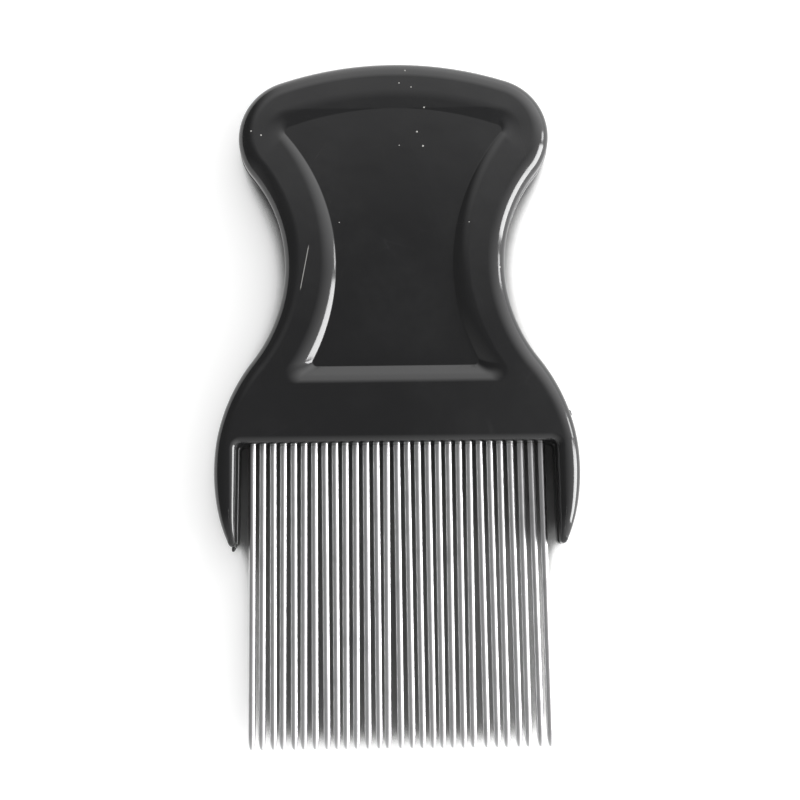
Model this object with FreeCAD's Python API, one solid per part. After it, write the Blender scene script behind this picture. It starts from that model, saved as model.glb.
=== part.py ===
import FreeCAD, Part
import math
import os

# Pet comb: one moulded plastic handle that holds a single row of straight steel pins.
# It lies flat on its back: X runs along the row, Y from the pin tips to the grip's end, Z up.
# While a piece is drawn, Y is zero on the head's lower face, where the pins leave it, and Z is
# zero half way through the plastic. placed() then moves it so that the origin lies under the
# middle of the whole comb.

# Pins
pin_count = 29
pin_diameter = 1.10
pin_gap = 0.44
pin_reach = 44.4
pin_embedment = 9.0
pin_taper_length = 3.4
pin_nose_radius = 0.24

# Handle outline, a chain of tangent arcs on each side of the middle line
handle_length = 58.95
handle_thickness = 8.0
shoulder_width = 47.9
shoulder_radius = 9.4
waist_width = 33.5
crown_radius = 54.7
head_centre_drop = 4.1

# Ears that guard the two ends of the row
ear_clearance = 1.36
ear_width = 3.65
ear_draft_angle = 0.5
ear_tip_radius = 0.65
ear_tip_thickness = 5.0
ear_nose_length = 4.8
notch_corner_radius = 0.6

# Rounding of the face edges, from the grip down to the ears' tips
grip_edge_radius = 2.6
ear_outer_edge_radius = 1.4
notch_edge_radius = 1.2
ear_tip_edge_radius = 0.3

# Thumb recess in each face
recess_depth = 1.5
recess_rim_width = 7.9
recess_rise = 11.3
recess_wall_angle = 45
recess_corner_radius = 1.0
recess_edge_radius = 3.2

# Stub left where the plastic entered the mould, on the head's right flank
gate_mark_diameter = 0.8
gate_mark_height = 0.35
gate_mark_rise = 4.1

# What stands past a cut's end so that the cut goes right through
overrun = 1.0
# Two places nearer than this are the same place
same_place = 0.000001

# How far each tip stands off its true place, as a share of the gap between two pins
tip_lean_shares = (
    0.3, 0.2, 0.5, 0.05, 0.35, -0.05, 0.2, 0.6, 0.35, -0.1,
    -0.25, 0.05, 0.2, -0.45, 0.3, 0.5, 0.4, 0.35, 0.0, -0.15,
    -0.15, -0.4, 0.4, 0.4, 0.05, 0.55, 0.1, 0.65, 0.4,
)
# No rounding takes more than this share of the wall that carries it
wall_limit_share = 0.45
# Faces that meet at less than this many degrees flow into each other, and their edge stays as it is
smooth_join_angle = 5

half_thickness = handle_thickness / 2
pin_radius = pin_diameter / 2
pin_pitch = pin_diameter + pin_gap
row_width = (pin_count - 1) * pin_pitch + pin_diameter
notch_half_width = row_width / 2 + ear_clearance
head_radius = notch_half_width + ear_width

grip_rounding = min(grip_edge_radius, wall_limit_share * handle_thickness)
notch_rounding = min(notch_edge_radius, wall_limit_share * ear_width)
ear_outer_rounding = min(ear_outer_edge_radius, 2 * wall_limit_share * (ear_width - notch_rounding))
ear_tip_rounding = min(ear_tip_edge_radius, 2 * wall_limit_share * ear_tip_radius)
recess_wall_slope = recess_depth / math.sin(math.radians(recess_wall_angle))
recess_rounding = min(
    recess_edge_radius,
    2 * wall_limit_share * recess_wall_slope / math.tan(math.radians(recess_wall_angle / 2)))


def point(x, y, z=0):
    return FreeCAD.Vector(x, y, z)


def towards(start, end, distance):
    """Return the place at a distance from start on the way to end."""
    way = end - start
    return start + way * (distance / way.Length)


def arc(centre, radius, start, end):
    """Return the shorter arc of a circle between two places on it."""
    middle = towards(centre, (start + end) * 0.5, radius)
    return Part.Arc(start, middle, end).toShape()


def line(start, end):
    return Part.LineSegment(start, end).toShape()


def both_sides(edges):
    """Add the mirror image of a half outline and close the two into one face."""
    others = [edge.mirror(point(0, 0), point(1, 0)) for edge in edges]
    return Part.Face(Part.Wire(Part.__sortEdges__(edges + others)))


def outline_circles():
    """Solve the circles on the +X side that touch each other in turn, from the crown to the head.

    The waist's circle is the one that touches the shoulder and the head and leaves the waist its
    width. With its height above the head's centre as the unknown, that is one quadratic.
    """
    head = point(0, -head_centre_drop)
    crown = point(0, handle_length - crown_radius)
    shoulder_x = shoulder_width / 2 - shoulder_radius
    shoulder_rise = math.sqrt((crown_radius - shoulder_radius) ** 2 - shoulder_x ** 2)
    shoulder = point(shoulder_x, crown.y + shoulder_rise)

    half_waist = waist_width / 2
    head_overhang = head_radius - half_waist
    across = half_waist - shoulder_x
    ratio = (shoulder_radius - across) / head_overhang
    climb = shoulder.y - head.y
    head_term = head_radius ** 2 - half_waist ** 2
    remainder = climb ** 2 - shoulder_radius ** 2 + across ** 2 + ratio * head_term
    rise = remainder / (climb + math.sqrt(climb ** 2 - (1 - ratio) * remainder))
    waist_radius = (rise ** 2 - head_term) / (2 * head_overhang)
    waist = point(half_waist + waist_radius, head.y + rise)
    return head, waist, waist_radius, shoulder, crown


def ear_inner_face():
    """Return the top of an ear's inner face, its downward direction and the way into the ear."""
    angle = math.radians(ear_draft_angle)
    top = point(notch_half_width, 0)
    down = point(math.sin(angle), -math.cos(angle))
    inwards = point(math.cos(angle), math.sin(angle))
    return top, down, inwards


def ear_tip_centre(head):
    """Solve the tip's circle, which touches the head's flank and the ear's inner face."""
    top, down, inwards = ear_inner_face()
    start = top + inwards * ear_tip_radius - head
    along = start.dot(down)
    reach = head_radius - ear_tip_radius
    run = math.sqrt(along ** 2 - start.dot(start) + reach ** 2) - along
    return head + start + down * run


def handle_face():
    """Return the handle's outline as a face half way through the plastic."""
    head, waist, waist_radius, shoulder, crown = outline_circles()
    tip = ear_tip_centre(head)
    inner_top, down, inwards = ear_inner_face()

    apex = point(0, handle_length)
    crown_end = towards(crown, shoulder, crown_radius)
    shoulder_end = towards(shoulder, waist, shoulder_radius)
    waist_end = towards(head, waist, head_radius)
    ear_root = point(math.sqrt(head_radius ** 2 - head.y ** 2), 0)
    head_end = towards(head, tip, head_radius)
    inner_low = tip - inwards * ear_tip_radius

    corner_setback = notch_corner_radius / math.tan(math.radians(90 + ear_draft_angle) / 2)
    corner_low = inner_top + down * corner_setback
    corner_high = inner_top - point(corner_setback, 0)
    corner = corner_high - point(0, notch_corner_radius)

    return both_sides([
        arc(crown, crown_radius, apex, crown_end),
        arc(shoulder, shoulder_radius, crown_end, shoulder_end),
        arc(waist, waist_radius, shoulder_end, waist_end),
        arc(head, head_radius, waist_end, ear_root),
        arc(head, head_radius, ear_root, head_end),
        arc(tip, ear_tip_radius, head_end, inner_low),
        line(inner_low, corner_low),
        arc(corner, notch_corner_radius, corner_low, corner_high),
        line(corner_high, point(0, 0)),
    ])


def ear_nose_cut():
    """Return what is cut from the front of both ears, so that they thin down to their tips."""
    tip = ear_tip_centre(outline_circles()[0])
    drop = half_thickness - ear_tip_thickness / 2
    nose_radius = (ear_nose_length ** 2 + drop ** 2) / (2 * drop)
    tip_angle = math.asin(ear_nose_length / nose_radius)
    end_angle = (tip_angle + math.pi / 2) / 2
    start_y = tip.y - ear_tip_radius + ear_nose_length
    centre_z = half_thickness - nose_radius

    def on_nose(angle):
        return point(0, start_y - nose_radius * math.sin(angle), centre_z + nose_radius * math.cos(angle))

    start = on_nose(0)
    end = on_nose(end_angle)
    high = half_thickness + overrun
    profile = Part.Wire([
        Part.Arc(start, on_nose(end_angle / 2), end).toShape(),
        line(end, point(0, end.y, high)),
        line(point(0, end.y, high), point(0, start_y, high)),
        line(point(0, start_y, high), start),
    ])
    width = 2 * (head_radius + overrun)
    cut = Part.Face(profile).extrude(point(width, 0))
    cut.translate(point(-width / 2, 0))
    return cut


def mirrored_to_back(solid):
    return solid.mirror(point(0, 0), point(0, 0, 1))


def edge_rounding(place, head, tip):
    """Return the rounding of the face edges at one of the outline's joints."""
    waist = outline_circles()[1]
    waist_end = towards(head, waist, head_radius)
    if place.y > waist_end.y - notch_corner_radius:
        return grip_rounding
    outer = abs(place.x) > notch_half_width + ear_width * wall_limit_share
    root = ear_outer_rounding if outer else notch_rounding
    if place.y > -2 * notch_corner_radius:
        return root
    rise = max(0, min(1, (place.y - tip.y) / -tip.y))
    return ear_tip_rounding + (root - ear_tip_rounding) * rise


def is_face_edge(solid, edge):
    """Tell the sharp edges round a face from the upright ones and from smooth joins."""
    ends = [vertex.Point for vertex in edge.Vertexes]
    if math.hypot(ends[0].x - ends[-1].x, ends[0].y - ends[-1].y) < same_place:
        return False
    middle = edge.valueAt((edge.FirstParameter + edge.LastParameter) / 2)
    normals = [
        face.normalAt(*face.Surface.parameter(middle))
        for face in solid.ancestorsOfType(edge, Part.Face)
    ]
    return math.degrees(normals[0].getAngle(normals[1])) > smooth_join_angle


def with_varied_rounding(solid):
    """Round every face edge, from full on the grip to fine at the ears' tips."""
    head = outline_circles()[0]
    tip = ear_tip_centre(head)
    choices = []
    for number, edge in enumerate(solid.Edges, 1):
        if is_face_edge(solid, edge):
            start = edge_rounding(edge.firstVertex().Point, head, tip)
            end = edge_rounding(edge.lastVertex().Point, head, tip)
            choices.append((number, start, end))
    document = FreeCAD.newDocument("rounding")
    base = document.addObject("Part::Feature", "base")
    base.Shape = solid
    fillet = document.addObject("Part::Fillet", "fillet")
    fillet.Base = base
    fillet.Edges = choices
    document.recompute()
    rounded = fillet.Shape.copy()
    FreeCAD.closeDocument(document.Name)
    return rounded


def circles_meet(first, first_radius, second, second_radius):
    """Return the higher of the two places where two circles cross."""
    way = second - first
    along = (way.Length ** 2 + first_radius ** 2 - second_radius ** 2) / (2 * way.Length)
    across = math.sqrt(first_radius ** 2 - along ** 2)
    forwards = way * (1 / way.Length)
    sideways = point(-forwards.y, forwards.x)
    places = [first + forwards * along + sideways * side * across for side in (1, -1)]
    return max(places, key=lambda place: place.y)


def recess_outline(rise):
    """Return the recess's outline at a height above its floor, where its sloped walls stand back."""
    _, waist, waist_radius, _, crown = outline_circles()
    step_back = rise / math.tan(math.radians(recess_wall_angle))
    inset = recess_rim_width - step_back
    crown_wall = crown_radius - inset
    waist_wall = waist_radius + inset
    low_y = recess_rise - step_back
    top_corner = circles_meet(crown, crown_wall, waist, waist_wall)
    low_corner = point(waist.x - math.sqrt(waist_wall ** 2 - (waist.y - low_y) ** 2), low_y)
    waist_middle = point(waist.x - waist_wall, waist.y)
    outline = both_sides([
        arc(crown, crown_wall, point(0, crown.y + crown_wall), top_corner),
        Part.Arc(top_corner, waist_middle, low_corner).toShape(),
        line(low_corner, point(0, low_y)),
    ]).OuterWire
    outline.translate(point(0, 0, half_thickness - recess_depth + rise))
    return outline


def recess_pocket():
    """Return what the front recess takes out: the grip's own outline, one rim width further in."""
    pocket = Part.makeLoft([recess_outline(0), recess_outline(recess_depth + overrun)], True, True)
    corners = []
    for edge in pocket.Edges:
        start, end = [vertex.Point for vertex in edge.Vertexes]
        if abs(start.z - end.z) > recess_depth and abs(start.x) > recess_corner_radius:
            corners.append(edge)
    return pocket.makeFillet(recess_corner_radius, corners)


def with_recesses(solid):
    """Sink a thumb recess into each face and roll its rim over into the face."""
    pocket = recess_pocket()
    solid = solid.cut(pocket).cut(mirrored_to_back(pocket))
    rim = []
    for edge in solid.Edges:
        box = edge.BoundBox
        on_face = box.ZLength < same_place and abs(abs(box.ZMin) - half_thickness) < same_place
        inside = pocket.BoundBox.isInside(point(edge.CenterOfMass.x, edge.CenterOfMass.y, half_thickness))
        if on_face and inside:
            rim.append(edge)
    return solid.makeFillet(recess_rounding, rim)


def gate_mark():
    """Return the small stub left by the mould's gate, standing square to the head's flank."""
    head = outline_circles()[0]
    rise = gate_mark_rise - head.y
    flank = point(math.sqrt(head_radius ** 2 - rise ** 2), gate_mark_rise)
    start = towards(flank, head, overrun)
    return Part.makeCylinder(gate_mark_diameter / 2, gate_mark_height + overrun, start, flank - head)


def ground_tip():
    """Return a pin's ground tip, a straight taper that touches the round nose.

    Its faces are splines, because those mesh with fewer triangles than a cone and a sphere.
    """
    taper_start = point(pin_radius, pin_taper_length - pin_reach)
    nose = point(0, pin_nose_radius - pin_reach)
    way = taper_start - nose
    touch_angle = math.atan2(way.y, way.x) - math.acos(pin_nose_radius / way.Length)
    taper_end = nose + point(math.cos(touch_angle), math.sin(touch_angle)) * pin_nose_radius
    axis_start = point(0, taper_start.y)
    tip = point(0, -pin_reach)
    profile = Part.Wire([
        line(axis_start, taper_start),
        line(taper_start, taper_end),
        arc(nose, pin_nose_radius, taper_end, tip),
        line(tip, axis_start),
    ])
    return Part.Face(profile).revolve(point(0, 0), point(0, 1), 360).toNurbs()


def pin(index):
    """Return one pin, which leans from its exit by its own small share."""
    shank_length = pin_embedment + pin_reach - pin_taper_length
    shank = Part.makeCylinder(pin_radius, shank_length, point(0, pin_embedment), point(0, -1))
    solid = shank.fuse(ground_tip()).Solids[0]
    lean = math.asin(tip_lean_shares[index % len(tip_lean_shares)] * pin_gap / pin_reach)
    solid.rotate(point(0, 0), point(0, 0, 1), math.degrees(lean))
    solid.translate(point((index - (pin_count - 1) / 2) * pin_pitch, 0))
    return solid


def handle(pins):
    """Return the moulded handle, with a socket of each pin's own shape."""
    blank = handle_face().extrude(point(0, 0, handle_thickness))
    blank.translate(point(0, 0, -half_thickness))
    nose_cut = ear_nose_cut()
    blank = blank.cut(nose_cut).cut(mirrored_to_back(nose_cut))
    body = with_recesses(with_varied_rounding(blank)).fuse(gate_mark())
    for solid in pins:
        body = body.cut(solid)
    return body.Solids[0]


def placed(solid):
    """Move a finished piece into the comb's own frame."""
    return solid.translated(point(0, (pin_reach - handle_length) / 2, half_thickness))


def main():
    os.makedirs("parts", exist_ok=True)
    pins = [pin(index) for index in range(pin_count)]
    placed(handle(pins)).exportStep("parts/handle.step")
    for number, solid in enumerate(pins, 1):
        placed(solid).exportStep("parts/pin_%02d.step" % number)


main()
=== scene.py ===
import math
import random

import bmesh
import bpy
from bpy.props import FloatProperty, FloatVectorProperty, IntProperty, PointerProperty
from mathutils import Matrix, Vector
from mathutils.geometry import delaunay_2d_cdt


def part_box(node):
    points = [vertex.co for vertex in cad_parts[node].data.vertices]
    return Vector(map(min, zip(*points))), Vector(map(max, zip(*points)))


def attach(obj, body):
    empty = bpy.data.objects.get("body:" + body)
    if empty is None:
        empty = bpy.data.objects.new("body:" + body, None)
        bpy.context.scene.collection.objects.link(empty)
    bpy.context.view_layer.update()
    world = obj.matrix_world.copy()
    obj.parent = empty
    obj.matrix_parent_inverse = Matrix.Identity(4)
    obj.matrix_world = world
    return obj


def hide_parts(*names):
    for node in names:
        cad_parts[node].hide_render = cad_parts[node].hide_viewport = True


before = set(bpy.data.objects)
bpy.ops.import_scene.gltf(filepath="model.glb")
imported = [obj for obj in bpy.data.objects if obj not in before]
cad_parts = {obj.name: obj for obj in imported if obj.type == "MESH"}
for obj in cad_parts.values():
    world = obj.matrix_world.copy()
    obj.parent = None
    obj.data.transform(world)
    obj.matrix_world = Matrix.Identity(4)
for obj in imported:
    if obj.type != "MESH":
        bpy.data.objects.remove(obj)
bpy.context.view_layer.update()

bl_info = {
    "name": "Pet comb",
    "version": (1, 0, 0),
    "blender": (4, 5, 0),
    "location": "3D Viewport > Sidebar > Comb",
    "description": "Dresses a packed pet comb: its moulded handle, steel pins and a plain studio",
    "category": "Object",
}

# The comb's frame: X along the row of pins, Y from their tips to the grip's end, Z up. The handle
# is drawn with Y zero on the line from which the head is measured, just above the head's lower
# face, and with Z zero half way through the plastic.
handle_low, handle_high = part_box("handle")
pin_names = sorted(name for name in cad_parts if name.startswith("pin_"))

# Dust specks on the front face as (x, y, radius), and a scratch as (start, end, half width)
SPECKS = (
    (0.00476, 0.04384, 0.00016), (0.00363, 0.04001, 0.00018), (0.00452, 0.03776, 0.00018),
    (-0.02168, 0.04032, 0.00016), (-0.02015, 0.03966, 0.00015), (0.00098, 0.04776, 0.00013),
    (0.00281, 0.04709, 0.00012), (0.00193, 0.04985, 0.00014), (0.0009, 0.0379, 0.0001),
    (0.0113, 0.0256, 0.0001), (0.0158, 0.0187, 0.00012), (-0.00832, 0.02595, 0.0001),
)
SCRATCH = (Vector((-0.01284, 0.02243)), Vector((-0.01418, 0.0152)), 0.00009)

# How the handle's mesh is divided: counts, shares, and lengths in metres
ROUNDING_STEPS = 14
RIDGE_SHARES = (0.15, 0.85, 1)
WALL_SHARES = (0.02, 0.5, 0.98)
WALL_STEPS = 34
STEPS_LEFT_TO_FOOT = 2
CROWN_PARTS, CORNER_PARTS, WAIST_PARTS, LOWER_PARTS = 60, 16, 120, 50
LEAST_ARC_PARTS = 8
EXTRA_TIP_ROWS = 3
EAR_SPACING = 0.0003
FLAT_GUARD = 0.00004
FOOT_WIDTH = 0.00006
FOOT_STEPS = (0.00009, FOOT_WIDTH, 0.0, -FOOT_WIDTH, -0.0001)
FOOT_SOFTNESS = 0.15

# How the roundings and the ridge change along the outline
OUTER_EAR_SHARE, INNER_EAR_SHARE = 0.64, 0.36
EAR_EDGE_POWER = 0.3
RIDGE_LOSS_AT_PINS = 0.9
TOP_CORNER_GROWTH, LOW_CORNER_GROWTH = 1.15, 0.35

# The torn marks, as (radius share, length share) pairs from root to end
STUB = ((0, 0), (1, 0), (0.98, 0.5), (0.9, 0.8), (0.8, 0.97), (0.6, 1), (0.4, 0.9), (0, 0.86))
FLASH = ((0, 0), (1, 0), (0.97, 0.3), (0.85, 0.5), (0.7, 0.7), (0.5, 0.88), (0.25, 0.97), (0, 1))
FLASH_ROOT = Vector((0.0001, 0.0003))
FLASH_LEAN = -0.00015
FLASH_RADIUS_SHARE = 0.6
TORN_SIDES = 32
TORN_ROUGHNESS = 0.06
TORN_SEED = 5

# Where the room's walls fade into each other, as the X or Y part of a direction
LEFT_FADE = (-0.25, 0.05)
FAR_RISE = (0.22, 0.64)
FAR_FADE_LEFT = (-0.65, -0.1)


def metres(description, value):
    return FloatProperty(description=description, default=value, unit="LENGTH", precision=5)


def degrees(description, value):
    return FloatProperty(description=description, default=math.radians(value), subtype="ANGLE")


def tint(description, value):
    return FloatVectorProperty(
        description=description, default=value, size=3, min=0, max=1, subtype="COLOR")


def fraction(description, value):
    return FloatProperty(description=description, default=value, min=0, max=1, subtype="FACTOR")


def strength(description, value):
    return FloatProperty(description=description, default=value, min=0)


def labelled(group):
    """Label each setting of a group with its own name in plain words."""
    for name, setting in group.__annotations__.items():
        setting.keywords["name"] = name.replace("_", " ").capitalize()
    return group


@labelled
class CombHandleSettings(bpy.types.PropertyGroup):
    """The handle's outline, its roundings, its recess, the marks of its mould and its plastic."""

    length: metres("Head's lower face to the grip's end", 0.05895)
    shoulder_width: metres("Width across the grip's end", 0.0479)
    shoulder_radius: metres("Radius of the grip's corners", 0.0094)
    waist_width: metres("Least width of the grip", 0.0335)
    crown_radius: metres("Radius of the grip's end", 0.0547)
    head_centre_drop: metres("Centre of the head's circle below its lower face", 0.0041)
    ear_width: metres("Width of an ear at its root", 0.00365)
    ear_draft: degrees("Slope of an ear's inner face", 0.5)
    ear_tip_radius: metres("Radius of an ear's tip", 0.00065)
    ear_tip_thickness: metres("Thickness left at an ear's tip", 0.005)
    ear_nose_length: metres("Length over which an ear thins", 0.0048)
    notch_corner_radius: metres("Radius beside the last pin", 0.0006)
    grip_edge: metres("Width of the rounding of the grip's edges", 0.00275)
    ear_edge: metres("Width of the rounding outside an ear's root", 0.003)
    edge_flatness: fraction("Depth of the outer edges' rounding as a share of its width", 0.85)
    notch_drop: metres("How far the head's whole lower face lies below its nominal line", 0.0004)
    notch_edge: metres("Rounding along the head's lower face", 0.0012)
    tip_edge: metres("Rounding round an ear's tip", 0.00045)
    recess_depth: metres("Depth of the thumb recess at its lower wall", 0.0014)
    recess_high_depth: metres("Depth of the recess at the crown", 0.00015)
    recess_rim_width: metres("Outline to the recess's floor", 0.0079)
    recess_rise: metres("Head's lower face to the recess's floor", 0.0112)
    recess_corner: metres("Corner radius of the recess's floor", 0.0007)
    side_wall: degrees("Slope at the foot of the recess's side walls", 43)
    side_edge: metres("Rounding of the side walls into the face", 0.0036)
    high_wall: degrees("Slope of the recess's wall towards the crown", 3.6)
    high_edge: metres("Rounding of the crown wall into the face", 0.022)
    low_wall: degrees("Slope of the recess's wall towards the pins", 35)
    low_edge: metres("Rounding of the lower wall into the face", 0.0026)
    parting_line_height: metres("Height of the fine ridge where the mould's halves met", 0.00007)
    wall_draft: degrees("Slope of the side walls away from the parting line", 1)
    gate_rise: metres("Head's lower face to the gate's stub", 0.0041)
    gate_diameter: metres("Diameter of the gate's stub", 0.001)
    gate_height: metres("Height of the gate's stub", 0.0004)
    flash_length: metres("Length of the flash at the left ear's tip", 0.0006)
    sample_step: metres("Spacing of the mesh along the outline", 0.00025)
    colour: tint("Colour of the plastic", (0.0105, 0.0105, 0.011))
    hazy_colour: tint("Colour where handling hazed it", (0.0145, 0.0145, 0.015))
    dust_colour: tint("Colour of dust and chips", (0.5, 0.49, 0.47))
    roughness: fraction("Roughness of the clean plastic", 0.1)
    haze_dulling: fraction("Roughness that haze adds", 0.07)
    hairline_dulling: fraction("Roughness that hairlines add", 0.25)
    dust_dulling: fraction("Roughness that dust adds", 0.6)
    scratch_paleness: fraction("How pale the long scratch is", 0.5)
    wave_height: metres("Height of the shrink waves", 0.00003)


@labelled
class CombPinSettings(bpy.types.PropertyGroup):
    """The steel pins and their finish."""

    diameter: metres("Diameter of the wire", 0.0011)
    taper_length: metres("Length of the ground tip", 0.0022)
    nose_radius: metres("Radius at the very tip", 0.00033)
    nose_turn: degrees("Slope at which the tip's curve meets the nose", 24)
    ogive_turn: degrees("Turn of the tip's curve", 60)
    sides: IntProperty(description="Sides of a pin's mesh", default=48, min=8)
    colour: tint("Colour of the steel", (0.68, 0.68, 0.685))
    stain: fraction("Brightness left where the steel is stained", 0.86)
    roughness: fraction("Roughness of the clean steel", 0.3)
    line_roughness: fraction("How much the drawn lines change it", 0.05)
    hairline_dulling: fraction("Roughness that hairlines add", 0.12)
    line_height: metres("Height of the drawn lines", 0.0000003)


@labelled
class CombStageSettings(bpy.types.PropertyGroup):
    """The floor, the lamps, the room and the camera."""

    floor_size: metres("Side of the square floor", 3.0)
    floor_drop: metres("Gap that keeps the floor off the comb's back", 0.00004)
    floor_colour: tint("Colour of the floor", (0.74, 0.74, 0.738))
    floor_glow: fraction("How much the floor is lifted towards white", 0.45)
    # Painted shade: these two settings darken the floor's colour by ambient occlusion under the
    # pins and close round the comb
    shade_reach: metres("How far off a part still shades the floor", 0.03)
    shade_colour: fraction("Share of the floor's colour left in deep shade", 0.22)
    ceiling_glow: strength("Brightness of the room's ceiling", 0.18)
    left_glow: strength("Brightness of the room's left wall", 0.2)
    right_glow: strength("What the right wall adds to the ceiling's glow", 1.5)
    far_glow: strength("What the wall beyond the grip adds", 1.6)
    near_glow: strength("What the wall before the pins adds", 0.9)
    lamp_distance: metres("Comb's middle to each lamp", 1.5)
    aim_height: metres("Height at which the lamps aim", 0.005)
    key_azimuth: degrees("Key lamp's turn from the comb's right side", -6)
    key_elevation: degrees("Key lamp's angle above the floor", 15)
    key_width: metres("Width of the key lamp", 0.8)
    key_height: metres("Height of the key lamp", 0.8)
    key_brightness: strength("Radiance of the key lamp", 14)
    side_azimuth: degrees("Side lamp's turn from the comb's right side", 18)
    side_elevation: degrees("Side lamp's angle above the floor", 13)
    side_width: metres("Width of the side lamp", 0.22)
    side_height: metres("Height of the side lamp", 0.36)
    side_brightness: strength("Radiance of the side lamp", 10)
    lens: FloatProperty(description="Focal length in millimetres", default=54)
    camera_height: metres("Camera to the comb's middle plane", 0.17977)
    camera_pitch: degrees("Tilt towards the grip", -8.69)
    camera_roll: degrees("Turn about the line of sight", 0.68)
    camera_aside: metres("Comb's place across the view", -0.00048)
    camera_below: metres("Comb's place up the view", -0.00637)


# Geometry of the handle's outline

def towards(start, end, distance):
    return start + (end - start).normalized() * distance


def circles_meet(first, first_radius, second, second_radius):
    """Return the higher of the two places where two circles cross."""
    way = second - first
    along = (way.length ** 2 + first_radius ** 2 - second_radius ** 2) / (2 * way.length)
    across = math.sqrt(first_radius ** 2 - along ** 2)
    forwards = way.normalized()
    sideways = Vector((-forwards.y, forwards.x))
    places = [first + forwards * along + sideways * side * across for side in (1, -1)]
    return max(places, key=lambda place: place.y)


def arc_places(centre, radius, start, end, count):
    """Return evenly spaced places on the shorter arc from start to end, both ends included."""
    first = math.atan2(start.y - centre.y, start.x - centre.x)
    turn = math.atan2(end.y - centre.y, end.x - centre.x) - first
    turn = (turn + math.pi) % (2 * math.pi) - math.pi
    places = []
    for index in range(count + 1):
        angle = first + turn * index / count
        places.append(centre + Vector((math.cos(angle), math.sin(angle))) * radius)
    return places


class Outline:
    """The circles on the +X side of the handle, which touch each other in turn."""

    def __init__(self, handle):
        self.half_thickness = (handle_high.z - handle_low.z) / 2
        self.head_radius = (handle_high.x - handle_low.x) / 2
        self.notch_half_width = self.head_radius - handle.ear_width
        self.head = Vector((0, -handle.head_centre_drop))
        self.crown_radius = handle.crown_radius
        self.crown = Vector((0, handle.length - self.crown_radius))
        self.shoulder_radius = handle.shoulder_radius
        shoulder_x = handle.shoulder_width / 2 - self.shoulder_radius
        shoulder_rise = math.sqrt((self.crown_radius - self.shoulder_radius) ** 2 - shoulder_x ** 2)
        self.shoulder = Vector((shoulder_x, self.crown.y + shoulder_rise))
        self.solve_waist(handle)
        self.solve_ear(handle)

    def solve_waist(self, handle):
        half_waist = handle.waist_width / 2
        head_overhang = self.head_radius - half_waist
        across = half_waist - self.shoulder.x
        ratio = (self.shoulder_radius - across) / head_overhang
        climb = self.shoulder.y - self.head.y
        head_term = self.head_radius ** 2 - half_waist ** 2
        remainder = climb ** 2 - self.shoulder_radius ** 2 + across ** 2 + ratio * head_term
        rise = remainder / (climb + math.sqrt(climb ** 2 - (1 - ratio) * remainder))
        self.waist_radius = (rise ** 2 - head_term) / (2 * head_overhang)
        self.waist = Vector((half_waist + self.waist_radius, self.head.y + rise))

    def solve_ear(self, handle):
        self.inner_top = Vector((self.notch_half_width, -handle.notch_drop))
        self.down = Vector((math.sin(handle.ear_draft), -math.cos(handle.ear_draft)))
        self.into_ear = Vector((math.cos(handle.ear_draft), math.sin(handle.ear_draft)))
        self.tip_radius = handle.ear_tip_radius
        start = self.inner_top + self.into_ear * self.tip_radius - self.head
        along = start.dot(self.down)
        reach = self.head_radius - self.tip_radius
        run = math.sqrt(along ** 2 - start.dot(start) + reach ** 2) - along
        self.tip = self.head + start + self.down * run
        self.nose_start = self.tip.y - self.tip_radius + handle.ear_nose_length
        drop = self.half_thickness - handle.ear_tip_thickness / 2
        self.nose_radius = (handle.ear_nose_length ** 2 + drop ** 2) / (2 * drop)

    def ear_width_at(self, y):
        """Return an ear's width at a height below its root."""
        outer = math.sqrt(max(0.0, self.head_radius ** 2 - (y - self.head.y) ** 2))
        return outer - self.notch_half_width - self.down.x * -y

    def top(self, y):
        """Return the height of the front face above the middle plane, which falls along an ear."""
        run = max(0.0, self.nose_start - y)
        return self.half_thickness - self.nose_radius + math.sqrt(self.nose_radius ** 2 - run ** 2)


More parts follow.
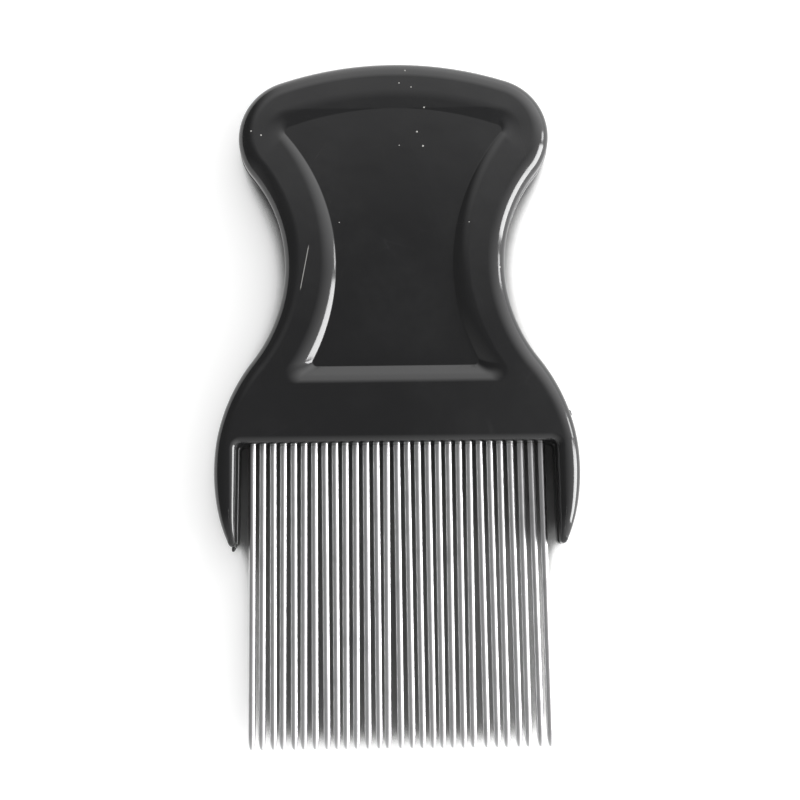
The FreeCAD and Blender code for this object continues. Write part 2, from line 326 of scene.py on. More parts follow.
def rim_samples(handle, outline):
    """Return samples round the outline, each with its edge's rounding.

    A sample is (place, way into the plastic, rounding's width, rounding's depth).
    """
    o = outline
    crown_end = towards(o.crown, o.shoulder, o.crown_radius)
    shoulder_end = towards(o.shoulder, o.waist, o.shoulder_radius)
    waist_end = towards(o.head, o.waist, o.head_radius)
    ear_root = Vector((math.sqrt(o.head_radius ** 2 - o.head.y ** 2), 0))
    head_end = towards(o.head, o.tip, o.head_radius)
    inner_low = o.tip - o.into_ear * o.tip_radius
    corner_radius = handle.notch_corner_radius
    corner_setback = corner_radius / math.tan((math.pi / 2 + handle.ear_draft) / 2)
    corner_low = o.inner_top + o.down * corner_setback
    corner_high = o.inner_top - Vector((corner_setback, 0))
    corner = corner_high - Vector((0, corner_radius))

    def ear_run(place, root, width_share):
        """Return a rounding's width on an ear, which keeps most of it until close to the tip."""
        rise = max(0.0, min(1.0, (place.y - o.tip.y) / -o.tip.y))
        wanted = handle.tip_edge + (root - handle.tip_edge) * rise ** EAR_EDGE_POWER
        return max(handle.tip_edge, min(wanted, width_share * o.ear_width_at(place.y)))

    def grip(place, share):
        return handle.grip_edge, handle.grip_edge * handle.edge_flatness

    def notch(place, share):
        return handle.notch_edge, handle.notch_edge

    def outer_ear(place, share):
        run = ear_run(place, handle.ear_edge, OUTER_EAR_SHARE)
        return run, run * handle.edge_flatness

    def inner_ear(place, share):
        run = ear_run(place, handle.notch_edge, INNER_EAR_SHARE)
        return run, run

    def between(first, last):
        return lambda place, share: [a + (b - a) * share for a, b in zip(first, last)]

    samples = []

    def add_arc(centre, radius, start, end, bulges, rounding):
        turn = abs((start - centre).angle_signed(end - centre))
        count = max(LEAST_ARC_PARTS, math.ceil(turn * radius / handle.sample_step))
        places = arc_places(centre, radius, start, end, count)
        for index, place in enumerate(places[:-1]):
            inwards = (centre - place).normalized() * (1 if bulges else -1)
            samples.append((place, inwards, *rounding(place, index / count)))

    def add_line(start, end, inwards, rounding):
        count = math.ceil((end - start).length / handle.sample_step)
        for index in range(count):
            place = start.lerp(end, index / count)
            samples.append((place, inwards, *rounding(place, index / count)))

    apex = Vector((0, handle.length))
    add_arc(o.crown, o.crown_radius, apex, crown_end, True, grip)
    add_arc(o.shoulder, o.shoulder_radius, crown_end, shoulder_end, True, grip)
    add_arc(o.waist, o.waist_radius, shoulder_end, waist_end, False, grip)
    add_arc(o.head, o.head_radius, waist_end, ear_root, True,
            between(grip(waist_end, 0), outer_ear(ear_root, 1)))
    add_arc(o.head, o.head_radius, ear_root, head_end, True, outer_ear)
    add_arc(o.tip, o.tip_radius, head_end, inner_low, True,
            between(outer_ear(head_end, 0), inner_ear(inner_low, 1)))
    add_line(inner_low, corner_low, o.into_ear, inner_ear)
    add_arc(corner, corner_radius, corner_low, corner_high, False,
            between(inner_ear(corner_low, 0), notch(corner_high, 1)))
    middle_low = Vector((0, -handle.notch_drop))
    add_line(corner_high, middle_low, Vector((0, 1)), notch)

    left = [
        (Vector((-place.x, place.y)), Vector((-inwards.x, inwards.y)), run, drop)
        for place, inwards, run, drop in samples[1:]
    ]
    middle = (middle_low, Vector((0, 1)), handle.notch_edge, handle.notch_edge)
    return samples + [middle] + left[::-1]


def recess_loop(handle, outline, step, top_corner_radius, low_corner_radius):
    """Return the recess's outline at a step outside its floor.

    Each place comes with the shares of the crown wall and of the lower wall in it.
    """
    o = outline
    inset = handle.recess_rim_width - step
    crown_wall = o.crown_radius - inset
    waist_wall = o.waist_radius + inset
    low_y = handle.recess_rise - step
    top_corner = circles_meet(
        o.crown, crown_wall - top_corner_radius, o.waist, waist_wall + top_corner_radius)
    corner_y = low_y + low_corner_radius
    reach = math.sqrt((waist_wall + low_corner_radius) ** 2 - (o.waist.y - corner_y) ** 2)
    low_corner = Vector((o.waist.x - reach, corner_y))
    crown_touch = towards(o.crown, top_corner, crown_wall)
    waist_high = towards(o.waist, top_corner, waist_wall)
    waist_low = towards(o.waist, low_corner, waist_wall)
    low_touch = Vector((low_corner.x, low_y))
    middle_low = Vector((0, low_y))

    crown_middle = o.crown + Vector((0, crown_wall))
    crown = arc_places(o.crown, crown_wall, crown_middle, crown_touch, CROWN_PARTS)
    high_corner = arc_places(top_corner, top_corner_radius, crown_touch, waist_high, CORNER_PARTS)
    waist = arc_places(o.waist, waist_wall, waist_high, waist_low, WAIST_PARTS)
    corner = arc_places(low_corner, low_corner_radius, waist_low, low_touch, CORNER_PARTS)
    lower = [low_touch.lerp(middle_low, index / LOWER_PARTS) for index in range(LOWER_PARTS + 1)]
    loop = []
    for places, high, more_high, low, more_low in (
            (crown, 1, 0, 0, 0), (high_corner, 1, -1, 0, 0), (waist, 0, 0, 0, 0),
            (corner, 0, 0, 0, 1), (lower, 0, 0, 1, 0)):
        for index, place in enumerate(places[:-1]):
            share = index / (len(places) - 1)
            loop.append((place, high + more_high * share, low + more_low * share))
    left = [(Vector((-place.x, place.y)), high, low) for place, high, low in loop[1:]]
    return loop + [(middle_low, 0, 1)] + left[::-1]


# Building the handle's mesh

class Shell:
    """Collects the handle's rings of places and the faces between them."""

    def __init__(self):
        self.places = []
        self.faces = []

    def ring(self, places):
        first = len(self.places)
        self.places.extend(places)
        return list(range(first, len(self.places)))

    def bridge(self, outer, inner):
        count = len(outer)
        for index in range(count):
            after = (index + 1) % count
            self.faces.append((outer[index], outer[after], inner[after], inner[index]))

    def fill(self, boundary, hole, extra, height):
        """Fill the region inside a boundary ring with triangles, and leave a hole ring open."""
        numbers = boundary + hole
        flat = [Vector(self.places[number][:2]) for number in numbers]
        edges = []
        start = 0
        for count in (len(boundary), len(hole)):
            edges += [(start + index, start + (index + 1) % count) for index in range(count)]
            start += count
        found, _, triangles, origins, _, _ = delaunay_2d_cdt(flat + extra, edges, [], 1, 1e-9)
        ids = []
        for place, sources in zip(found, origins):
            known = [source for source in sources if source < len(numbers)]
            if known:
                ids.append(numbers[known[0]])
            else:
                self.places.append(Vector((place.x, place.y, height(place.y))))
                ids.append(len(self.places) - 1)
        hole_loop = flat[len(boundary):]
        hole_numbers = set(hole)
        for triangle in triangles:
            corners = tuple(ids[corner] for corner in triangle)
            if hole_numbers.issuperset(corners):
                middle = sum((found[corner] for corner in triangle), Vector((0, 0))) / 3
                if inside(middle, hole_loop):
                    continue
            self.faces.append(corners)


def inside(place, loop):
    """Tell whether a place lies inside a closed loop of places."""
    hit = False
    before = loop[-1]
    for now in loop:
        if (now.y > place.y) != (before.y > place.y):
            crossing = now.x + (before.x - now.x) * (place.y - now.y) / (before.y - now.y)
            if place.x < crossing:
                hit = not hit
        before = now
    return hit


def ear_grid(loop, outline):
    """Return places inside the ears, close enough together to carry their falling face."""
    half_spacing = Vector((EAR_SPACING / 2, 0))
    rows = math.ceil((outline.nose_start - outline.tip.y) / EAR_SPACING) + EXTRA_TIP_ROWS
    columns = int((outline.head_radius - outline.notch_half_width) / EAR_SPACING)
    places = []
    for row in range(rows):
        y = outline.nose_start + EAR_SPACING - row * EAR_SPACING
        for column in range(columns):
            for side in (1, -1):
                x = outline.notch_half_width + column * EAR_SPACING
                place = Vector((side * x, y))
                if inside(place - half_spacing, loop) and inside(place + half_spacing, loop):
                    places.append(place)
    return places


def handle_side(handle, outline, samples, shell, middle_ring, side):
    """Add one half of the handle to the shell, from the parting line to the recess's floor."""

    def add_ring(inset_of, height_of):
        """Add a ring by its inset into the plastic and its height above the middle plane."""
        ring = []
        for (place, inwards, run, drop), ridge, wall_top in rows:
            flat = place + inwards * inset_of(ridge, wall_top, run)
            ring.append(Vector((*flat, side * height_of(outline.top(flat.y), drop, ridge))))
        rings.append(shell.ring(ring))

    rows = []
    for sample in samples:
        place, inwards, _, drop = sample
        facing_pins = max(0.0, min(1.0, 3 * inwards.y - 2))
        ridge = handle.parting_line_height * (1 - RIDGE_LOSS_AT_PINS * facing_pins)
        wall_top = ridge + math.tan(handle.wall_draft) * (outline.top(place.y) - drop)
        rows.append((sample, ridge, wall_top))
    rings = [middle_ring]
    for share in RIDGE_SHARES:
        add_ring(lambda ridge, wall, run: ridge * share, lambda top, drop, ridge: ridge * share)
    for share in WALL_SHARES:
        add_ring(lambda ridge, wall, run: ridge + (wall - ridge) * share,
                 lambda top, drop, ridge: (top - drop) * share)
    for index in range(ROUNDING_STEPS + 1):
        angle = math.pi / 2 * index / ROUNDING_STEPS
        add_ring(lambda ridge, wall, run: wall + (run - wall) * (1 - math.cos(angle)),
                 lambda top, drop, ridge: top - drop * (1 - math.sin(angle)))
    add_ring(lambda ridge, wall, run: run + FLAT_GUARD, lambda top, drop, ridge: top)
    for outer, inner in zip(rings, rings[1:]):
        shell.bridge(outer, inner)

    recess = recess_rings(handle, outline, shell, side)
    boundary = [Vector(shell.places[number][:2]) for number in rings[-1]]
    shell.fill(rings[-1], recess[0], ear_grid(boundary, outline), lambda y: side * outline.top(y))
    shell.fill(
        recess[-1], [], [], lambda y: side * (outline.half_thickness - recess_depth_at(handle, y)))


def recess_depth_at(handle, y):
    """Return how deep the recess's floor lies, which grows towards the pins."""
    crown_y = handle.length - handle.recess_rim_width
    share = max(0.0, min(1.0, (y - handle.recess_rise) / (crown_y - handle.recess_rise)))
    return handle.recess_depth + (handle.recess_high_depth - handle.recess_depth) * share


def wall_slope(depth, slope, rounding):
    """Return a wall's slope at its foot, which a shallow wall's rounding doesn't let grow steep."""
    return min(slope, math.acos(1 - depth / rounding)) if depth < rounding else slope


def wall_run(depth, slope, rounding):
    """Return how far a sloped wall and its rounding reach outside the recess's floor."""
    slope = wall_slope(depth, slope, rounding)
    return depth / math.tan(slope) + rounding * math.tan(slope / 2)


def wall_drop(step, depth, slope, rounding):
    """Return how far below the face a sloped wall lies at a step outside the recess's floor."""
    slope = wall_slope(depth, slope, rounding)
    if step < 0:
        return depth
    if step < FOOT_WIDTH:
        share = FOOT_SOFTNESS + (1 - 2 * FOOT_SOFTNESS) * step / FOOT_WIDTH
        return depth - FOOT_WIDTH * math.tan(slope) * share
    left_over = wall_run(depth, slope, rounding) - step
    if left_over <= 0:
        return 0.0
    if left_over < rounding * math.sin(slope):
        return rounding - math.sqrt(rounding ** 2 - left_over ** 2)
    return depth - step * math.tan(slope)


def recess_rings(handle, outline, shell, side):
    """Add the recess: steep curved side walls, a gentle crown wall and a crisp lower one."""
    walls = (
        (handle.side_wall, handle.side_edge),
        (handle.high_wall, handle.high_edge),
        (handle.low_wall, handle.low_edge),
    )
    depths = (handle.recess_depth, handle.recess_high_depth, handle.recess_depth)
    reach = max(wall_run(depth, *wall) for depth, wall in zip(depths, walls))
    steps = [reach + FLAT_GUARD]
    divisions = WALL_STEPS + STEPS_LEFT_TO_FOOT
    steps += [reach * (1 - index / divisions) for index in range(WALL_STEPS)]
    steps += FOOT_STEPS
    rings = []
    for step in steps:
        outside = max(0.0, step)
        corner_radii = [
            handle.recess_corner + outside * growth
            for growth in (TOP_CORNER_GROWTH, LOW_CORNER_GROWTH)]
        ring = []
        for place, high, low in recess_loop(handle, outline, step, *corner_radii):
            depth = recess_depth_at(handle, place.y)
            drops = [wall_drop(step, depth, slope, rounding) for slope, rounding in walls]
            drop = drops[0] * (1 - high - low) + drops[1] * high + drops[2] * low
            ring.append(Vector((place.x, place.y, side * (outline.half_thickness - drop))))
        rings.append(shell.ring(ring))
    for outer, inner in zip(rings, rings[1:]):
        shell.bridge(outer, inner)
    return rings


def handle_origin(handle):
    """Return where the handle's own zero lies in the comb's frame."""
    return Vector((
        (handle_low.x + handle_high.x) / 2,
        handle_high.y - handle.length,
        (handle_low.z + handle_high.z) / 2))


def mesh_object(name, places, faces, material, origin=Vector((0, 0, 0))):
    """Make an object whose mesh holds its own place, with its faces turned outwards."""
    mesh = bpy.data.meshes.new(name)
    mesh.materials.append(material)
    mesh.from_pydata([place + origin for place in places], [], faces)
    work = bmesh.new()
    work.from_mesh(mesh)
    bmesh.ops.recalc_face_normals(work, faces=work.faces)
    work.to_mesh(mesh)
    work.free()
    mesh.polygons.foreach_set("use_smooth", [True] * len(mesh.polygons))
    mesh.update()
    made = bpy.data.objects.new(name, mesh)
    bpy.context.scene.collection.objects.link(made)
    return made


def lathe(profile, sides, axis_start, axis_end):
    """Turn (radius, distance along the axis) pairs round an axis. The ends close on the axis."""
    way = (axis_end - axis_start).normalized()
    helper = Vector((0, 0, 1)) if abs(way.z) < 0.9 else Vector((1, 0, 0))
    across = way.cross(helper).normalized()
    up = across.cross(way)
    places = []
    faces = []
    rings = []
    for radius, distance in profile:
        centre = axis_start + way * distance
        count = sides if radius else 1
        rings.append(range(len(places), len(places) + count))
        for side in range(count):
            angle = 2 * math.pi * side / sides
            places.append(centre + (across * math.cos(angle) + up * math.sin(angle)) * radius)
    for first, second in zip(rings, rings[1:]):
        for side in range(sides):
            after = (side + 1) % sides
            corners = [first[side % len(first)], first[after % len(first)]]
            corners += [second[after % len(second)], second[side % len(second)]]
            faces.append(tuple(dict.fromkeys(corners)))
    return places, faces


# Shader node groups and the node helpers that build them

class Nodes:
    """Adds nodes to a tree and joins them with few words."""

    def __init__(self, tree):
        self.tree = tree

    def put(self, kind, values=None, **settings):
        node = self.tree.nodes.new("ShaderNode" + kind)
        for name, value in settings.items():
            setattr(node, name, value)
        for name, value in (values or {}).items():
            self.feed(node.inputs[name], value)
        return node

    def feed(self, socket, value):
        if isinstance(value, bpy.types.NodeSocket):
            self.tree.links.new(value, socket)
        else:
            socket.default_value = value

    def maths(self, operation, first, second=0.0, third=0.0):
        return self.put("Math", {0: first, 1: second, 2: third}, operation=operation).outputs[0]

    def vectors(self, operation, first, second):
        return self.put("VectorMath", {0: first, 1: second}, operation=operation).outputs

    def ramp(self, value, low, high, start=0.0, end=1.0, kind="SMOOTHSTEP"):
        limits = {"From Min": low, "From Max": high, "To Min": start, "To Max": end}
        node = self.put("MapRange", {"Value": value, **limits}, interpolation_type=kind)
        return node.outputs["Result"]

    def per(self, size):
        return self.maths("DIVIDE", 1.0, size)

    def noise(self, place, scale, detail=2.0, roughness=0.5):
        values = {"Vector": place, "Scale": scale, "Detail": detail, "Roughness": roughness}
        return self.put("TexNoise", values).outputs["Fac"]

    def mixed(self, share, first, second):
        """Return the first colour with a share of the second in it."""
        return self.put("Mix", {0: share, 6: first, 7: second}, data_type="RGBA").outputs[2]

    def turned(self, vector, angle):
        return self.put("Mapping", {"Vector": vector, "Rotation": (0, 0, angle)}).outputs["Vector"]

    def group(self, maker, values):
        """Place a shared group, which its maker builds when it is first asked for."""
        tree = bpy.data.node_groups.get(maker.__name__) or maker()
        return self.put("Group", values, node_tree=tree).outputs


def start_group(name, numbers, results):
    """Make a node group that takes a place and named numbers, and gives named values."""
    tree = bpy.data.node_groups.new(name, "ShaderNodeTree")
    tree.interface.new_socket(name="Place", in_out="INPUT", socket_type="NodeSocketVector")
    for label, usual in numbers.items():
        socket = tree.interface.new_socket(
            name=label, in_out="INPUT", socket_type="NodeSocketFloat")
        socket.default_value = usual
    for label in results:
        tree.interface.new_socket(name=label, in_out="OUTPUT", socket_type="NodeSocketFloat")
    source = tree.nodes.new("NodeGroupInput")
    sink = tree.nodes.new("NodeGroupOutput")
    return tree, Nodes(tree), source.outputs, sink.inputs


def fine_scratches():
    """Hairline scratches that run at several angles and only here and there."""
    tree, nodes, given, wanted = start_group(
        "fine_scratches", {"Spacing": 0.004, "Width": 0.02, "Amount": 0.5}, ["Mask"])
    angles = (0.35, 1.25, 2.2, 2.85)
    stretch = (1.0, 0.12, 0.6)
    shift = Vector((7.3, 3.1, 0))
    patch_scale, patch_low, patch_high = 0.9, 0.52, 0.66
    scaled = nodes.vectors("MULTIPLY", given["Place"], nodes.per(given["Spacing"]))["Vector"]
    total = 0.0
    for index, angle in enumerate(angles):
        turned = nodes.put("Mapping", {"Vector": nodes.turned(scaled, angle), "Scale": stretch})
        place = nodes.vectors("ADD", turned.outputs["Vector"], shift * index)["Vector"]
        cell = nodes.put("TexVoronoi", {"Vector": place, "Scale": 1.0}, feature="DISTANCE_TO_EDGE")
        line = nodes.ramp(cell.outputs["Distance"], 0.0, given["Width"], 1.0, 0.0)
        here = nodes.ramp(nodes.noise(place, patch_scale), patch_low, patch_high)
        total = nodes.maths("MAXIMUM", total, nodes.maths("MULTIPLY", line, here))
    nodes.feed(wanted["Mask"], nodes.maths("MULTIPLY", total, given["Amount"]))
    return tree


def marked_places():
    """Light marks at places of their own: round chips and specks, and one straight scratch."""
    tree, nodes, given, wanted = start_group("marked_places", {}, ["Specks", "Scratch"])
    front_height = handle_high.z * 0.6
    speck_core, scratch_core, scratch_middle = 0.4, 0.3, 0.8
    height = nodes.put("SeparateXYZ", {"Vector": given["Place"]}).outputs["Z"]
    front = nodes.maths("GREATER_THAN", height, front_height)
    flat = nodes.vectors("MULTIPLY", given["Place"], (1, 1, 0))["Vector"]
    total = 0.0
    for x, y, radius in SPECKS:
        away = nodes.vectors("DISTANCE", flat, (x, y, 0))["Value"]
        speck = nodes.ramp(away, radius * speck_core, radius, 1.0, 0.0)
        total = nodes.maths("MAXIMUM", total, speck)
    nodes.feed(wanted["Specks"], nodes.maths("MULTIPLY", total, front))

    start, end, half_width = SCRATCH
    way = end - start
    half_length = way.length / 2
    moved = nodes.vectors("SUBTRACT", given["Place"], ((start + end) / 2).to_3d())["Vector"]
    level = nodes.turned(moved, -math.atan2(way.y, way.x))
    parts = nodes.put("SeparateXYZ", {"Vector": level}).outputs
    line = front
    for axis, half, core in (("X", half_length, scratch_middle), ("Y", half_width, scratch_core)):
        away = nodes.maths("ABSOLUTE", parts[axis])
        line = nodes.maths("MULTIPLY", line, nodes.ramp(away, half * core, half, 1.0, 0.0))
    nodes.feed(wanted["Scratch"], line)
    return tree


def dust_specks():
    """Single specks of dust, each at its own place in its own cell."""
    tree, nodes, given, wanted = start_group(
        "dust_specks", {"Spacing": 0.003, "Speck size": 0.03, "Share of cells": 0.2}, ["Mask"])
    least_size, speck_core = 0.4, 0.4
    scale = nodes.per(given["Spacing"])
    cell = nodes.put("TexVoronoi", {"Vector": given["Place"], "Scale": scale}, feature="F1")
    chance = nodes.put("SeparateColor", {"Color": cell.outputs["Color"]}).outputs
    chosen = nodes.maths("LESS_THAN", chance["Red"], given["Share of cells"])
    growth = nodes.maths("ADD", chance["Green"], least_size)
    size = nodes.maths("MULTIPLY", given["Speck size"], growth)
    core = nodes.maths("MULTIPLY", size, speck_core)
    speck = nodes.ramp(cell.outputs["Distance"], core, size, 1.0, 0.0)
    nodes.feed(wanted["Mask"], nodes.maths("MULTIPLY", speck, chosen))
    return tree


def handling_haze():
    """Faint handling haze: broad soft patches in which the gloss is a little duller."""
    tree, nodes, given, wanted = start_group(
        "handling_haze", {"Patch size": 0.012, "Grain size": 0.0012}, ["Mask"])
    patch_low, patch_high = 0.42, 0.68
    patch = nodes.noise(given["Place"], nodes.per(given["Patch size"]), detail=4.0, roughness=0.55)
    grain = nodes.noise(given["Place"], nodes.per(given["Grain size"]), detail=3.0)
    broad = nodes.ramp(patch, patch_low, patch_high)
    nodes.feed(wanted["Mask"], nodes.maths("MULTIPLY", broad, grain))
    return tree


def shrink_waves():
    """The slight waves that shrinkage leaves on a glossy moulding."""
    tree, nodes, given, wanted = start_group(
        "shrink_waves", {"Wave length": 0.006, "Ripple length": 0.0014, "Ripple share": 0.12},
        ["Height"])
    wave = nodes.noise(given["Place"], nodes.per(given["Wave length"]), detail=1.0)
    ripple = nodes.noise(given["Place"], nodes.per(given["Ripple length"]), detail=1.0)
    nodes.feed(wanted["Height"], nodes.maths("MULTIPLY_ADD", ripple, given["Ripple share"], wave))
    return tree


def drawn_wire():
    """The fine lines that a drawing die leaves along a wire, and slight stains across it."""
    tree, nodes, given, wanted = start_group(
        "drawn_wire", {"Line width": 0.00006, "Line length": 0.06}, ["Lines", "Stain"])
    stains_per_line, stain_low, stain_high = 14.0, 0.5, 0.75
    across = nodes.per(given["Line width"])
    along = nodes.per(given["Line length"])
    scale = nodes.put("CombineXYZ", {"X": across, "Y": along, "Z": across}).outputs["Vector"]
    stretched = nodes.vectors("MULTIPLY", given["Place"], scale)["Vector"]
    stain_scale = nodes.maths("DIVIDE", stains_per_line, given["Line length"])
    stain = nodes.noise(given["Place"], stain_scale, detail=4.0)
    nodes.feed(wanted["Lines"], nodes.noise(stretched, 1.0, detail=3.0))
    nodes.feed(wanted["Stain"], nodes.ramp(stain, stain_low, stain_high))
    return tree


def start_material(name):
    material = bpy.data.materials.new(name)
    material.use_nodes = True
    material.node_tree.nodes.clear()
    nodes = Nodes(material.node_tree)
    return material, nodes, nodes.put("TexCoord").outputs["Object"]


def gloss_black_plastic(handle):
    """Near-black glossy plastic with shrink waves, hairline scratches, haze and a little dust."""
    material, nodes, place = start_material("gloss_black_plastic")
    scratches = nodes.group(
        fine_scratches, {"Place": place, "Spacing": 0.0045, "Width": 0.006, "Amount": 0.6})["Mask"]
    dust = nodes.group(dust_specks, {
        "Place": place, "Spacing": 0.0034, "Speck size": 0.034, "Share of cells": 0.12})["Mask"]
    haze = nodes.group(handling_haze, {"Place": place})["Mask"]
    waves = nodes.group(shrink_waves, {"Place": place})["Height"]
    marks = nodes.group(marked_places, {"Place": place})
    dust = nodes.maths("MAXIMUM", dust, marks["Specks"])
    worn = nodes.maths("MULTIPLY_ADD", marks["Scratch"], handle.scratch_paleness, dust)

    clean = nodes.mixed(haze, (*handle.colour, 1), (*handle.hazy_colour, 1))
    colour = nodes.mixed(worn, clean, (*handle.dust_colour, 1))
    rough = nodes.maths("MULTIPLY_ADD", haze, handle.haze_dulling, handle.roughness)
    rough = nodes.maths("MULTIPLY_ADD", scratches, handle.hairline_dulling, rough)
    rough = nodes.maths("MULTIPLY_ADD", worn, handle.dust_dulling, rough)
    scratch_depth = -0.02
    dents = nodes.maths("MULTIPLY_ADD", scratches, scratch_depth, waves)
    bump = nodes.put("Bump", {"Height": dents, "Distance": handle.wave_height, "Strength": 1.0})
    shader = nodes.put("BsdfPrincipled", {
        "Base Color": colour, "Roughness": rough, "Normal": bump.outputs["Normal"], "IOR": 1.53})
    nodes.put("OutputMaterial", {"Surface": shader.outputs["BSDF"]})
    return material


def drawn_steel_wire(pins):
    """Polished steel wire with the drawing die's fine lines along it."""
    material, nodes, place = start_material("drawn_steel_wire")
    wire = nodes.group(drawn_wire, {"Place": place})
    scratches = nodes.group(
        fine_scratches, {"Place": place, "Spacing": 0.003, "Width": 0.02, "Amount": 0.15})["Mask"]
    stained = tuple(part * pins.stain for part in pins.colour)
    colour = nodes.mixed(wire["Stain"], (*pins.colour, 1), (*stained, 1))
    smoothest = pins.roughness - pins.line_roughness / 2
    rough = nodes.maths("MULTIPLY_ADD", wire["Lines"], pins.line_roughness, smoothest)
    rough = nodes.maths("MULTIPLY_ADD", scratches, pins.hairline_dulling, rough)
    bump = nodes.put(
        "Bump", {"Height": wire["Lines"], "Distance": pins.line_height, "Strength": 1.0})
    shader = nodes.put("BsdfPrincipled", {
        "Base Color": colour, "Roughness": rough, "Metallic": 1.0,
        "Normal": bump.outputs["Normal"]})
    nodes.put("OutputMaterial", {"Surface": shader.outputs["BSDF"]})
    return material


def pale_floor(stage):
    """A pale floor that reads as white where nothing stands over it and keeps the comb's cast
    shadow; under the pins and close round the comb, ambient occlusion also darkens its colour and
    withholds its lift to white, which is painted shade.
    """
    material, nodes, place = start_material("pale_floor")
    grain_scale, grain_low, grain_high, grain_darkest = 900.0, 0.3, 0.7, 0.985
    # Painted shade: as ambient occlusion falls from the second of these to the first, the floor's
    # colour darkens to its shaded share
    shaded, open_sky = 0.46, 0.64
    # The grain is the floor's own faint random tone, not shade
    grain = nodes.noise(place, grain_scale, detail=3.0)
    shade = nodes.ramp(grain, grain_low, grain_high, grain_darkest, 1.0)
    sky = nodes.put("AmbientOcclusion", {"Distance": stage.shade_reach}, samples=24).outputs["AO"]
    outside_painted_shade = nodes.ramp(sky, shaded, open_sky)
    painted_shade_colour = tuple(part * stage.shade_colour for part in stage.floor_colour)
    painted_shade_and_grain = nodes.maths("MULTIPLY", outside_painted_shade, shade)
    colour = nodes.mixed(painted_shade_and_grain, (*painted_shade_colour, 1), (*stage.floor_colour, 1))
    path = nodes.put("LightPath").outputs
    seen = nodes.maths("MAXIMUM", path["Is Camera Ray"], path["Is Glossy Ray"])
    seen = nodes.maths("MAXIMUM", seen, path["Is Transmission Ray"])
    # The lift to white is withheld in the painted shade as well
    glow = nodes.maths("MULTIPLY", nodes.maths("MULTIPLY", seen, outside_painted_shade), stage.floor_glow)
    shader = nodes.put("BsdfPrincipled", {
        "Base Color": colour, "Roughness": 0.7, "Emission Color": (1, 1, 1, 1),
        "Emission Strength": glow})
    nodes.put("OutputMaterial", {"Surface": shader.outputs["BSDF"]})
    return material


# Operators, one for each piece or group of like pieces and one for the stage

class COMB_OT_handle(bpy.types.Operator):
    """Build the moulded handle from its outline, its edge roundings and its two recesses."""

    bl_idname = "comb.handle"
    bl_label = "Moulded handle"

    def execute(self, context):
        handle = context.scene.comb_handle
        outline = Outline(handle)
        samples = rim_samples(handle, outline)
        shell = Shell()
        middle = shell.ring([Vector((sample[0].x, sample[0].y, 0)) for sample in samples])
        for side in (1, -1):
            handle_side(handle, outline, samples, shell, middle, side)
        plastic = gloss_black_plastic(handle)
        origin = handle_origin(handle)
        piece = mesh_object("handle_moulding", shell.places, shell.faces, plastic, origin)
        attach(piece, "root")
        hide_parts("handle")
        return {"FINISHED"}


class COMB_OT_mould_marks(bpy.types.Operator):
    """Build the gate's stub on the head's right flank and the torn flash at the left ear's tip."""

    bl_idname = "comb.mould_marks"
    bl_label = "Mould marks"

    def execute(self, context):
        handle = context.scene.comb_handle
        outline = Outline(handle)
        rise = handle.gate_rise - outline.head.y
        flank = Vector((math.sqrt(outline.head_radius ** 2 - rise ** 2), handle.gate_rise))
        outwards = (flank - outline.head).normalized()
        height = outwards * handle.gate_height
        torn_mark(
            "gate_stub", STUB, handle.gate_diameter / 2, flank - height, flank + height, handle)
        tip = Vector((-outline.tip.x, outline.tip.y - outline.tip_radius))
        end = tip + Vector((FLASH_LEAN, -handle.flash_length))
        radius = handle.flash_length * FLASH_RADIUS_SHARE
        torn_mark("ear_tip_flash", FLASH, radius, tip + FLASH_ROOT, end, handle)
        return {"FINISHED"}


def torn_mark(name, shares, radius, start, end, handle):
    """Build a small torn lump of plastic from (radius share, length share) pairs."""
    origin = handle_origin(handle)
    length = (end - start).length
    profile = [(radius * wide, length * along) for wide, along in shares]
    places, faces = lathe(profile, TORN_SIDES, start.to_3d() + origin, end.to_3d() + origin)
    dice = random.Random(TORN_SEED)
    torn = []
    for place in places:
        torn.append(place + Vector(
            [dice.uniform(-1, 1) * radius * TORN_ROUGHNESS for axis in range(3)]))
    piece = mesh_object(name, torn, faces, bpy.data.materials["gloss_black_plastic"])
    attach(piece, "root")


class COMB_OT_pins(bpy.types.Operator):
    """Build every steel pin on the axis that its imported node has."""

    bl_idname = "comb.pins"
    bl_label = "Steel pins"

    def execute(self, context):
        pins = context.scene.comb_pins
        material = drawn_steel_wire(pins)
        for name in pin_names:
            root, tip = pin_axis(name)
            places, faces = lathe(pin_profile(pins, (tip - root).length), pins.sides, root, tip)
            piece = mesh_object(name + "_wire", places, faces, material)
            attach(piece, "root")
            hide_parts(name)
        return {"FINISHED"}


def pin_axis(name):
    """Return the middle of a packed pin's root and its tip."""
    low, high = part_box(name)
    places = [vertex.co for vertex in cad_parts[name].data.vertices]
    tip = min(places, key=lambda place: place.y)
    root_share = 0.01
    root_y = high.y - (high.y - low.y) * root_share
    end = [place for place in places if place.y > root_y]
    middle_x = (min(place.x for place in end) + max(place.x for place in end)) / 2
    middle_z = (low.z + high.z) / 2
    return Vector((middle_x, high.y, middle_z)), Vector((tip.x, low.y, middle_z))


def pin_profile(pins, reach):
    """Return a pin's (radius, distance) pairs from its root to the middle of its nose."""
    radius = pins.diameter / 2
    nose = pins.nose_radius
    taper_start = reach - pins.taper_length
    chamfer = radius * 0.15
    guard = radius * 0.3
    profile = [(0, 0), (radius - chamfer, 0), (radius, chamfer), (radius, chamfer + guard)]
    profile += [(radius, taper_start - guard), (radius, taper_start)]
    steps = 10
    narrowing = (radius - nose * math.cos(pins.nose_turn)) / (1 - math.cos(pins.ogive_turn))
    run = reach - nose + nose * math.sin(pins.nose_turn) - taper_start
    for index in range(1, steps + 1):
        angle = pins.ogive_turn * index / steps
        profile.append((
            radius - narrowing * (1 - math.cos(angle)),
            taper_start + run * math.sin(angle) / math.sin(pins.ogive_turn)))
    for index in range(1, steps):
        angle = pins.nose_turn + (math.pi / 2 - pins.nose_turn) * index / steps
        profile.append((nose * math.cos(angle), reach - nose + nose * math.sin(angle)))
    profile.append((0, reach))
    return profile


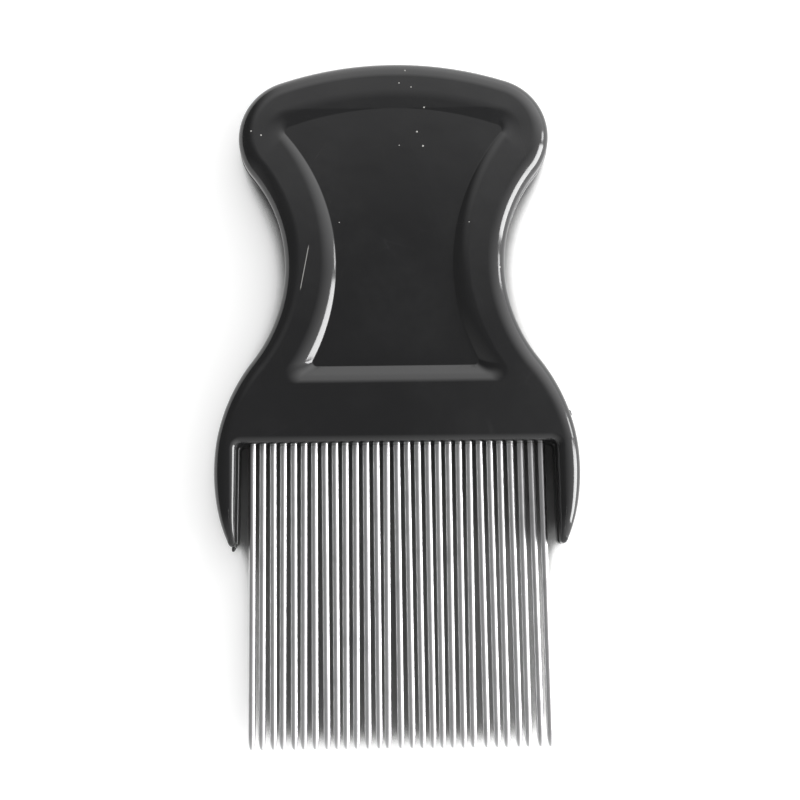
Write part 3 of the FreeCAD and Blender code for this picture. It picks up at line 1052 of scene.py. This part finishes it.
class COMB_OT_stage(bpy.types.Operator):
    """Set the floor, the soft lamps, the room's glow and the camera."""

    bl_idname = "comb.stage"
    bl_label = "Plain studio"

    def execute(self, context):
        stage = context.scene.comb_stage
        half = stage.floor_size / 2
        corners = [
            Vector((x * half, y * half, 0)) for x, y in ((-1, -1), (1, -1), (1, 1), (-1, 1))]
        below = Vector((0, 0, -stage.floor_drop))
        floor = mesh_object("studio_floor", corners, [(0, 1, 2, 3)], pale_floor(stage), below)
        soft_lamp("key", stage)
        soft_lamp("side", stage)
        room_glow(context.scene, stage)
        aim_camera(context.scene, stage)
        return {"FINISHED"}


def soft_lamp(name, stage):
    """Hang a rectangular lamp that faces the comb, by the settings that carry its name."""
    turn, lift, width, height, brightness = [
        getattr(stage, f"{name}_{part}")
        for part in ("azimuth", "elevation", "width", "height", "brightness")]
    way = Vector((math.cos(turn) * math.cos(lift), math.sin(turn) * math.cos(lift), math.sin(lift)))
    lamp = bpy.data.lights.new(name + "_softbox", "AREA")
    lamp.shape = "RECTANGLE"
    lamp.size, lamp.size_y = width, height
    lamp.energy = brightness * math.pi * width * height
    holder = bpy.data.objects.new(name + "_softbox", lamp)
    holder.location = Vector((0, 0, stage.aim_height)) + way * stage.lamp_distance
    holder.rotation_euler = way.to_track_quat("Z", "Y").to_euler()
    bpy.context.scene.collection.objects.link(holder)


def room_glow(scene, stage):
    """Light the room softly: dim overhead and on the left, brighter towards the other walls."""
    world = bpy.data.worlds.new("studio_room")
    world.use_nodes = True
    world.node_tree.nodes.clear()
    nodes = Nodes(world.node_tree)
    way = nodes.put("TexCoord").outputs["Generated"]
    axes = nodes.put("SeparateXYZ", {"Vector": way}).outputs
    glow = nodes.ramp(axes["X"], *LEFT_FADE, stage.left_glow, stage.ceiling_glow)
    right = nodes.maths("MAXIMUM", axes["X"], 0.0)
    near = nodes.maths("MAXIMUM", nodes.maths("MULTIPLY", axes["Y"], -1.0), 0.0)
    far = nodes.maths(
        "MULTIPLY", nodes.ramp(axes["Y"], *FAR_RISE, kind="LINEAR"),
        nodes.ramp(axes["X"], *FAR_FADE_LEFT))
    for share, brightness in (
            (right, stage.right_glow), (far, stage.far_glow), (near, stage.near_glow)):
        glow = nodes.maths("MULTIPLY_ADD", share, brightness, glow)
    light = nodes.put("Background", {"Color": (1, 1, 1, 1), "Strength": glow})
    nodes.put("OutputWorld", {"Surface": light.outputs["Background"]})
    scene.world = world
    scene.view_settings.view_transform = "Standard"


def aim_camera(scene, stage):
    """Place the camera over the comb, at the photograph's angle."""
    turn = Matrix.Rotation(stage.camera_roll, 3, "Z") @ Matrix.Rotation(stage.camera_pitch, 3, "X")
    shift = Vector((stage.camera_aside, stage.camera_below, -stage.camera_height))
    lens = bpy.data.cameras.new("photo_camera")
    lens.lens = stage.lens
    lens.clip_start = 0.01
    camera = bpy.data.objects.new("photo_camera", lens)
    scene.collection.objects.link(camera)
    place = turn.transposed() @ -shift + handle_origin(scene.comb_handle)
    camera.matrix_world = Matrix.Translation(place) @ turn.transposed().to_4x4()
    scene.camera = camera


class COMB_PT_sidebar(bpy.types.Panel):
    """The comb's tab in the 3D view's sidebar."""

    bl_idname = "COMB_PT_sidebar"
    bl_label = "Pet comb"
    bl_space_type = "VIEW_3D"
    bl_region_type = "UI"
    bl_category = "Comb"

    def draw(self, context):
        for operator in OPERATORS:
            self.layout.operator(operator.bl_idname)


OPERATORS = (COMB_OT_handle, COMB_OT_mould_marks, COMB_OT_pins, COMB_OT_stage)
CLASSES = (CombHandleSettings, CombPinSettings, CombStageSettings, *OPERATORS, COMB_PT_sidebar)


def register():
    for item in CLASSES:
        bpy.utils.register_class(item)
    bpy.types.Scene.comb_handle = PointerProperty(type=CombHandleSettings)
    bpy.types.Scene.comb_pins = PointerProperty(type=CombPinSettings)
    bpy.types.Scene.comb_stage = PointerProperty(type=CombStageSettings)


def unregister():
    del bpy.types.Scene.comb_stage
    del bpy.types.Scene.comb_pins
    del bpy.types.Scene.comb_handle
    for item in reversed(CLASSES):
        bpy.utils.unregister_class(item)


def main():
    register()
    bpy.ops.comb.handle()
    bpy.ops.comb.mould_marks()
    bpy.ops.comb.pins()
    bpy.ops.comb.stage()


if __name__ == "__main__":
    main()
